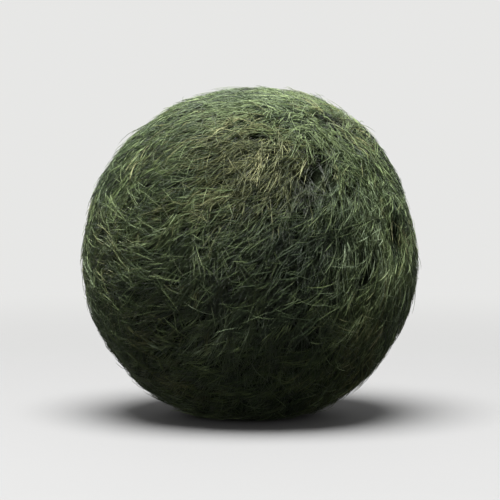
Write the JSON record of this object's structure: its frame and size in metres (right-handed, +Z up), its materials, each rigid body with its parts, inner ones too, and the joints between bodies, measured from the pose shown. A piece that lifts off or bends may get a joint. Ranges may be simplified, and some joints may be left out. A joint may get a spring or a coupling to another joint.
{
  "type": "marimo moss ball",
  "caption": "Dark grey-green ball of felted fine filaments, combed in soft locks, resting on a small flat spot",
  "frame": {"origin": "on the flat spot that the ball rests on, under the middle of the ball's outside box", "axes": "+Z up from the flat spot, +X to the right of the side that the picture shows and along the ball's widest way, +Y away from that side"},
  "size_m": [0.047, 0.0464, 0.0456],
  "materials": {
    "moss": "matt felt of fine dark grey-green filaments, a little glossy from damp, lighter on the raised locks"
  },
  "bodies": {
    "root": {"moss_ball": "moss"}
  },
  "joints": []
}
